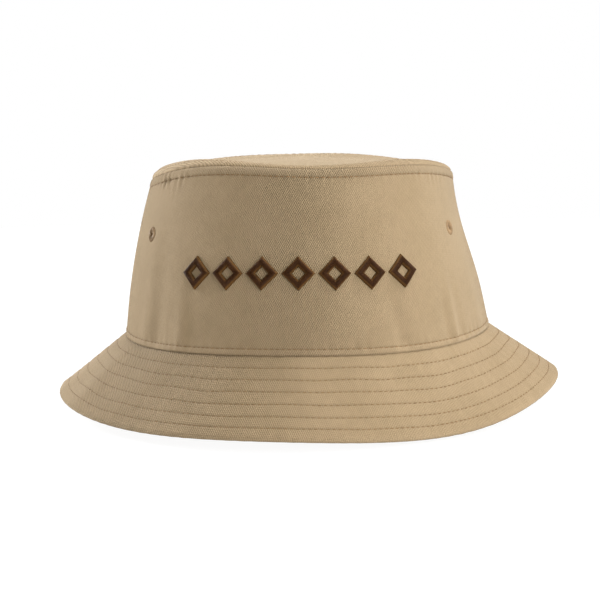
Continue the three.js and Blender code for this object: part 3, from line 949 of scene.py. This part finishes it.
def brim_skin(name, node, low, high, upper):
    """One half of one skin: its quilted face, the rolled outer edge, and its flat back inside the brim."""
    phi = directions(low, high)
    inner_end = -2.6 if upper else -1.4  # where the skin ends inside the crown
    face = np.concatenate([np.linspace(inner_end, 1, 9)[:-1], np.linspace(1, BRIM_LENGTH, 110)])
    angles, along = np.broadcast_arrays(phi[:, None], face[None, :])
    points, _ = brim_face(angles, along, upper)
    middle = BRIM_THICK / 2
    roll = [
        (BRIM_LENGTH + 0.9 * math.sin(turn), middle - (middle - 0.15) * math.cos(turn))
        for turn in np.radians([22, 45, 66, 84])
    ]
    lip = [*roll, (BRIM_LENGTH + 0.4, middle - 0.06)]
    inside = [(a, BRIM_SKIN) for a in np.linspace(BRIM_LENGTH - 0.6, inner_end, 8)]
    wobble = 0.05 * ripple(phi, 0.0, 16, (60, 130), 0.0, 41)
    back = [
        brim_point(phi, a + sway, depth if upper else BRIM_THICK - depth)
        for stretch, sway in ((lip, wobble), (inside, 0))
        for a, depth in stretch
    ]
    section = np.concatenate([points, np.stack(back, 1)], axis=1)
    centre = math.radians((low + high) / 2)
    reach = np.concatenate([face, [a for a, _ in lip + inside]])
    uvs = flat_pattern(phi[:, None], BRIM_PATTERN_RADIUS + reach[None, :], BRIM_PATTERN_RADIUS, centre)
    shade_and_wear = np.full(section.shape[:2], 0.5)
    shade_and_wear[:, :len(face)] = brim_shade_and_wear(angles, along, UPPER_SEED if upper else UNDER_SEED)
    shade_and_wear[:, len(face):len(face) + len(roll)] = 0.72
    traits = {"shade_and_wear": shade_and_wear, "raking_light": np.repeat(brim_raking_light(phi)[:, None], shade_and_wear.shape[1], axis=1)}
    obj = loft(name, section, False, uvs, traits, flip=not upper)
    return finish_piece(obj, BRIM_TWILL, "twill", node)


def brim_stiffener(name, node, low, high):
    """The interlining between the two skins."""
    phi = directions(low, high, 240)
    reach = np.linspace(2, BRIM_LENGTH - 1.2, 12)
    depth = 0.85  # of its upper face below the brim's
    faces = [brim_point(phi, a, depth) for a in reach]
    faces += [brim_point(phi, a, BRIM_THICK - depth) for a in reach[::-1]]
    radius = BRIM_PATTERN_RADIUS + np.concatenate([reach, reach[::-1]])
    uvs = flat_pattern(phi[:, None], radius[None, :], BRIM_PATTERN_RADIUS)
    return finish_piece(loft(name, np.stack(faces, 1), False, uvs), STIFFENER, "interlining", node)


def brim_row(row, distance):
    """One row of stitches, seen on both faces."""
    turn = whole_turn()
    faces = [brim_face(turn, np.full_like(turn, distance), upper) for upper in (True, False)]
    stitch_line(f"brim_row_{row}_stitches", faces, 50 + row, [f"brim_stitch_row_{row}"])


# ---------------- inside of the crown
BINDING = (TAPE, "binding")
CLOTH_LABEL = (LABEL, "label")


def inside_strip(name, node, look, arc, heights, sink, thickness, columns=COLUMNS // 2, wave=0.0):
    """A strip against the inside of the wall. `look` is its material and a slot name that is not used, `arc`
    its ends in degrees,
    `heights` its two edges above the seam, and `wave` how far its upper edge stands off the wall."""
    phi = directions(*arc, columns)
    length = wall_length(phi)
    uneven = 1 + 0.5 * ripple(phi, 0.0, 10, (3, 14), 0.0, 61)
    bottom, top = heights
    rise = np.linspace(bottom, top, 9)
    section = []
    for face, depth in ((rise, sink + thickness), (rise[::-1], sink)):
        for height in face:
            stand = wave * ((height - bottom) / (top - bottom)) ** 2 * uneven
            section.append(wall_surface(phi, length - height, sink=depth + stand)[0])
    reach = np.concatenate([rise, rise[::-1]])
    uvs = np.stack(np.broadcast_arrays(seam_arc(phi)[:, None], reach[None, :]), -1)
    ring = arc[1] - arc[0] >= 360
    return finish_piece(loft(name, np.stack(section, 1), ring, uvs, flip=True), *look, node)


def inside_path(phi, height, sink):
    """Points and normals of a row of stitches on the inside of the wall."""
    points, normals = wall_surface(phi, wall_length(phi) - height, sink=sink)
    return points, -normals


def upright_paths(places, heights, sink):
    """Rows of stitches up the inside of the wall, at places in degrees."""
    return [inside_path(np.full_like(heights, math.radians(a)), heights, sink) for a in places]


def sweatband():
    """A band round the foot of the crown, its two ends butted together at the back."""
    inside_strip("sweatband_tape", "sweatband", BINDING, (-180.2, 179.6), (1.2, 31), 2.2, 0.9, wave=0.8)
    stitch_line("sweatband_stitches", [inside_path(whole_turn(), 3.4, 3.2)], 81, ["sweatband_stitch"])


def top_binding():
    edges = (CROWN_H - 13, CROWN_H - 3.5)
    inside_strip("top_seam_binding", "crown_top_seam_tape", BINDING, (-180, 180), edges, 1.4, 0.6)
    stitch_line("top_binding_stitches", [inside_path(whole_turn(), CROWN_H - 11.5, 2.05)], 82)


def side_bindings():
    """A tape over each side seam, from the sweatband up, stitched along both edges."""
    half_width, row_offset = 3.8, 2.9  # in degrees
    for side, centre in (("left", 90), ("right", -90)):
        arc = (centre - half_width, centre + half_width)
        inside_strip(f"side_seam_binding_{side}", f"side_seam_tape_{side}", BINDING,
                     arc, (31.5, CROWN_H - 14), 1.2, 0.6)
        edges = (centre - row_offset, centre + row_offset)
        rows = upright_paths(edges, np.linspace(34, CROWN_H - 15, 60), 1.85)
        stitch_line(f"side_binding_stitches_{side}", rows, 170 + centre)


def labels():
    """Two blank labels: a main one on the sweatband at the back, a care label at the wearer's right."""
    inside_strip("main_label_cloth", "main_label", CLOTH_LABEL, (168, 192), (8, 25), 3.5, 0.45, columns=240)
    stitch_line("main_label_stitches", upright_paths((169, 191), np.linspace(9, 24, 30), 3.95), 83, pitch=2.0)
    inside_strip("care_label_cloth", "care_label", CLOTH_LABEL, (-96, -84), (38, 68), 2.2, 0.35, columns=360)


def embroidery_backing():
    low, high = box_mm("embroidery_backing")
    edges = (low[2] - SEAM_Z, high[2] - SEAM_Z)
    inside_strip("embroidery_backing_patch", "embroidery_backing", (STIFFENER, "interlining"),
                 (-48, 48), edges, 1.0, 0.35, columns=480)


# ---------------- embroidery
MOTIFS = [f"motif_diamond_{i}" for i in range(1, 8)]
MOTIF_STROKE = 3.4  # width of the stitched outline
MOTIF_RELIEF = 1.8  # its height over the cloth
MOTIF_ASPECT = 0.98  # width of a diamond over its height
FRONT_ARC_RADIUS = 83.0  # turns a distance along the front of the crown into an angle


def motif_place(x, z):
    """Point and normal on the front of the crown: x round the front, z above the seam."""
    phi = x / FRONT_ARC_RADIUS
    return wall_surface(phi, wall_distance(phi, z))


def embroidered_diamond(node):
    """A diamond outline in satin stitch: threads lie across the stroke, and fan round its corners."""
    low, high = box_mm(node)
    spot = middle_mm(node)
    centre = direction_of(spot) * FRONT_ARC_RADIUS
    level = spot[2] - SEAM_Z
    half_height = (high[2] - low[2]) / 2
    half_width = half_height * MOTIF_ASPECT
    side_length = math.hypot(half_width, half_height)
    inset_x, inset_z = MOTIF_STROKE * side_length / half_height, MOTIF_STROKE * side_length / half_width
    threads_per_side, samples = 27, 6
    corners = np.array([[1, 0], [0, 1], [-1, 0], [0, -1]], float)
    t = np.arange(threads_per_side * samples) / (threads_per_side * samples)
    path = np.concatenate([a + (b - a) * t[:, None] for a, b in zip(corners, np.roll(corners, -1, axis=0))])
    thread_phase = np.arange(len(path)) / samples
    rib = np.abs(np.cos(math.pi * thread_phase))

    def stroke(share, scale=1.0):
        """Points and normals across the stroke, by their share of its width from the outer edge."""
        x = path[:, :1] * (half_width - share[None, :] * inset_x)
        z = path[:, 1:] * (half_height - share[None, :] * inset_z)
        return motif_place(centre + x * scale, level + z * scale)

    share = np.linspace(0, 1, 13)
    off_middle = np.abs(2 * share - 1)[None, :]
    ragged = 0.10 * np.sin(np.floor(thread_phase + 0.5) * 78.233)[:, None] * off_middle ** 6
    face, face_normal = stroke(share, 1 + ragged / half_width)
    puff = np.clip(1 - off_middle ** 2.6, 0, 1) ** 0.6
    face = face + face_normal * col(0.12 + MOTIF_RELIEF * puff * (0.90 + 0.10 * rib[:, None]))
    foot, foot_normal = stroke(np.array([0.92, 0.5, 0.08]))
    points = np.concatenate([face, foot - foot_normal * 0.05], axis=1)
    hidden = np.ones(foot.shape[:2])
    # rib carries the painted shade between threads, edge the painted highlight towards the stroke's sides
    traits = {
        "rib": np.concatenate([np.repeat(rib[:, None], len(share), 1), hidden], axis=1),
        "edge": np.concatenate([np.repeat(off_middle, len(path), 0), hidden], axis=1),
    }
    return finish_piece(loft(node + "_satin", points, True, traits=traits), BROWN, "embroidery", node)


# ---------------- the hat
def build_hat():
    crown_side("crown_front", "crown_side_front", -90, 90)
    crown_side("crown_back", "crown_side_back", 90, 270)
    crown_tip()
    crown_stitching()
    for node in EYELETS:
        eyelet(node)
    for half, low, high in (("front", -90, 90), ("back", 90, 270)):
        brim_skin(f"brim_top_{half}", f"brim_upper_{half}", low, high, True)
        brim_skin(f"brim_under_{half}", f"brim_lower_{half}", low, high, False)
        brim_stiffener(f"brim_stiffener_{half}", f"brim_interlining_{half}", low, high)
    for row, distance in enumerate(ROW_DISTANCES, start=1):
        brim_row(row, distance)
    sweatband()
    top_binding()
    side_bindings()
    labels()
    embroidery_backing()
    for node in MOTIFS:
        embroidered_diamond(node)


# ---------------- studio, in metres
def placed(name, data, place, target):
    """A camera or light, turned towards a point."""
    obj = bpy.data.objects.new(name, data)
    bpy.context.scene.collection.objects.link(obj)
    obj.location = place
    obj.rotation_mode = "QUATERNION"
    obj.rotation_quaternion = (Vector(target) - obj.location).to_track_quat("-Z", "Y")
    return obj


def camera():
    """Front view from a little above, as a product photograph is taken."""
    distance, elevation, roll = 0.852, math.radians(7.8), math.radians(-0.92)
    look_at = Vector((-0.0036, 0, 0.0143))  # from the middle of the base seam
    lens = bpy.data.cameras.new("camera")
    lens.sensor_width = 36.0
    lens.lens = 99.8
    lens.clip_start = 0.01
    seam = Vector((0, 0, (SEAM_Z + BRIM_LIFT) * MM))
    away = distance * Vector((0, -math.cos(elevation), math.sin(elevation)))
    obj = placed("camera", lens, seam + away, seam + look_at)
    obj.rotation_quaternion = obj.rotation_quaternion @ Quaternion((0, 0, 1), roll)
    bpy.context.scene.camera = obj


def area_light(name, place, target, size, power):
    """A soft round light that the camera doesn't see."""
    light = bpy.data.lights.new(name, "AREA")
    light.shape = "DISK"
    light.size = size
    light.energy = power
    placed(name, light, place, target).visible_camera = False


def light_table():
    """Round white table, lit from beneath, so that the hat stands on plain white with hardly a shadow."""
    radius, albedo, glow = 1300.0, 0.12, 0.93
    turn = np.linspace(0, 2 * math.pi, 96, endpoint=False)
    rim = np.stack([radius * np.cos(turn), radius * np.sin(turn), 0 * turn], -1)
    table = mesh_object("light_table", rim, [np.arange(len(rim))[None, :]])
    look = Look("white table", 0.9, specular=0.0)
    speckle = look.noise(look.node("TexCoord", out=3), 40.0, 3.0)
    look.set(look.shader, {
        "Base Color": look.ramp(speckle, grey(albedo * 0.98), grey(albedo * 1.02)),
        "Emission Color": grey(1.0),
        "Emission Strength": glow,
    })
    table.data.materials.append(look.material)


def white_room():
    """Surroundings: white walls up to a good height above the horizon, and a dark ceiling."""
    wall_top, ceiling = 0.30, 0.55  # sines of the elevations between which the light fades
    world = bpy.data.worlds.new("studio")
    world.use_nodes = True
    tree = world.node_tree
    place = tree.nodes.new("ShaderNodeTexCoord")
    split = tree.nodes.new("ShaderNodeSeparateXYZ")
    fade = tree.nodes.new("ShaderNodeMapRange")
    fade.interpolation_type = "SMOOTHSTEP"
    for socket, value in zip(list(fade.inputs)[1:5], (wall_top, ceiling, 1.0, 0.0)):
        socket.default_value = value
    tree.links.new(place.outputs["Generated"], split.inputs[0])
    tree.links.new(split.outputs[2], fade.inputs[0])
    tree.links.new(fade.outputs[0], tree.nodes["Background"].inputs["Color"])
    bpy.context.scene.world = world


def studio():
    bpy.context.scene.view_settings.view_transform = "Standard"
    white_room()
    light_table()
    middle = (0, 0, 0.08)
    area_light("right", (1.7, -0.35, 0.9), middle, 1.0, 11.0)
    area_light("top right", (0.7, 0.2, 1.9), middle, 1.2, 44.0)
    area_light("left back", (-1.5, 1.0, 0.8), middle, 1.0, 66.0)
    area_light("front right", (1.1, -1.5, 0.9), middle, 1.2, 33.0)


camera()
studio()
build_hat()
